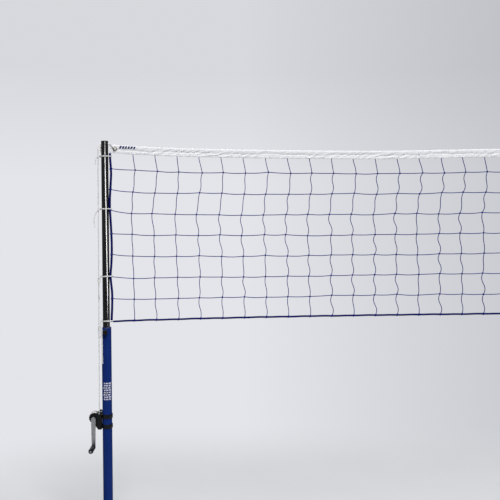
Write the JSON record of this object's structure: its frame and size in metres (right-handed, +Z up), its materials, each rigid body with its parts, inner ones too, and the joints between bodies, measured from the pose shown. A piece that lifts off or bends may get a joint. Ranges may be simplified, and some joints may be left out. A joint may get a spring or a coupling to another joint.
{
  "type": "volleyball net on posts",
  "caption": "Volleyball net with a white head band, laced to telescoping posts on weighted wheeled bases, tightened by a hand winch.",
  "frame": {"origin": "on the floor, midway between the two posts", "axes": "+X along the net towards the post without the winch, +Y across the net away from the front, +Z up"},
  "size_m": [10.8664, 0.6, 2.26],
  "materials": {
    "blue_tube": "satin blue paint",
    "black_tube": "gloss black paint",
    "black_paint": "satin black powder coat",
    "black_plastic": "moulded black plastic",
    "blue_plastic": "moulded blue plastic",
    "nylon": "natural nylon",
    "steel": "zinc-plated steel",
    "iron": "cast, painted dark grey",
    "rubber": "ribbed black rubber",
    "tyre": "solid rubber tyre on a plastic hub",
    "band_cloth": "white coated cloth, slightly shiny",
    "net_string": "blue twisted cord",
    "navy_rope": "navy braided cord",
    "white_rope": "white braided cord",
    "brass": "dull plated brass"
  },
  "bodies": {
    "stand": {"left_base_plate": "black_paint", "left_foot_inner": "rubber", "left_foot_outer": "rubber", "left_weight_lower": "iron", "left_weight_upper": "iron", "left_lower_tube": "blue_tube", "left_collar": "blue_plastic", "right_base_plate": "black_paint", "right_foot_inner": "rubber", "right_foot_outer": "rubber", "right_weight_lower": "iron", "right_weight_upper": "iron", "right_lower_tube": "blue_tube", "right_collar": "blue_plastic", "winch_bracket": "black_paint"},
    "left_mast": {"left_upper_tube": "black_tube", "left_cap": "black_plastic", "sheave_axle": "steel", "net_mesh": "net_string", "head_band": "band_cloth", "head_rope": "white_rope", "bottom_rope": "navy_rope", "left_side_rope": "navy_rope", "right_side_rope": "navy_rope", "left_eyelet": "brass", "right_eyelet": "brass", "left_head_line": "white_rope", "tension_rope": "white_rope", "left_tie_top": "white_rope", "left_tie_upper": "white_rope", "left_tie_lower": "white_rope", "left_tie_bottom": "white_rope", "left_tail_top": "white_rope", "left_tail_upper": "white_rope", "left_tail_lower": "white_rope", "left_tail_bottom": "white_rope"},
    "right_mast": {"right_upper_tube": "black_tube", "right_cap": "black_plastic", "eye_bolt": "steel", "right_head_line": "white_rope", "right_tie_top": "white_rope", "right_tie_upper": "white_rope", "right_tie_lower": "white_rope", "right_tie_bottom": "white_rope", "right_tail_top": "white_rope", "right_tail_upper": "white_rope", "right_tail_lower": "white_rope", "right_tail_bottom": "white_rope"},
    "pulley": {"sheave": "nylon"},
    "winch": {"winch_drum": "black_paint", "crank_arm": "steel"},
    "grip": {"crank_grip": "black_plastic"},
    "pawl": {"winch_pawl": "steel"},
    "left_knob": {"left_clamp_knob": "black_plastic"},
    "right_knob": {"right_clamp_knob": "black_plastic"},
    "left_wheel_a": {"left_wheel_a": "tyre"},
    "left_wheel_b": {"left_wheel_b": "tyre"},
    "right_wheel_a": {"right_wheel_a": "tyre"},
    "right_wheel_b": {"right_wheel_b": "tyre"}
  },
  "joints": [
    {"name": "left_raise", "type": "slide", "parent": "stand", "child": "left_mast", "axis": [0, 0, 1], "range_m": [0, 0.19], "deforming": ["tension_rope"]},
    {"name": "right_raise", "type": "slide", "parent": "stand", "child": "right_mast", "axis": [0, 0, 1], "range_m": [0, 0.19]},
    {"name": "pulley_turn", "type": "hinge", "parent": "left_mast", "child": "pulley", "pos_m": [-4.786, 0, 2.222], "axis": [0, 1, 0], "continuous": true},
    {"name": "winch_turn", "type": "hinge", "parent": "stand", "child": "winch", "pos_m": [-4.84, 0, 0.758], "axis": [0, 1, 0], "continuous": true},
    {"name": "grip_turn", "type": "hinge", "parent": "winch", "child": "grip", "pos_m": [-4.84, -0.088, 0.608], "axis": [0, 1, 0], "continuous": true},
    {"name": "pawl_lift", "type": "hinge", "parent": "stand", "child": "pawl", "pos_m": [-4.812, 0, 0.786], "axis": [0, 1, 0], "range_deg": [-5, 20]},
    {"name": "left_knob_turn", "type": "hinge", "parent": "stand", "child": "left_knob", "pos_m": [-4.772, 0, 1.231], "axis": [0, -1, 0], "range_deg": [0, 360]},
    {"name": "right_knob_turn", "type": "hinge", "parent": "stand", "child": "right_knob", "pos_m": [4.772, 0, 1.231], "axis": [0, 1, 0], "range_deg": [0, 360]},
    {"name": "left_wheel_a_turn", "type": "hinge", "parent": "stand", "child": "left_wheel_a", "pos_m": [-5.384, -0.258, 0.053], "axis": [0, 1, 0], "continuous": true},
    {"name": "left_wheel_b_turn", "type": "hinge", "parent": "stand", "child": "left_wheel_b", "pos_m": [-5.384, 0.258, 0.053], "axis": [0, 1, 0], "continuous": true},
    {"name": "right_wheel_a_turn", "type": "hinge", "parent": "stand", "child": "right_wheel_a", "pos_m": [5.384, 0.258, 0.053], "axis": [0, 1, 0], "continuous": true},
    {"name": "right_wheel_b_turn", "type": "hinge", "parent": "stand", "child": "right_wheel_b", "pos_m": [5.384, -0.258, 0.053], "axis": [0, 1, 0], "continuous": true}
  ],
  "couplings": [
    {"joint": "right_raise", "follows": "left_raise", "ratio": 1}
  ]
}
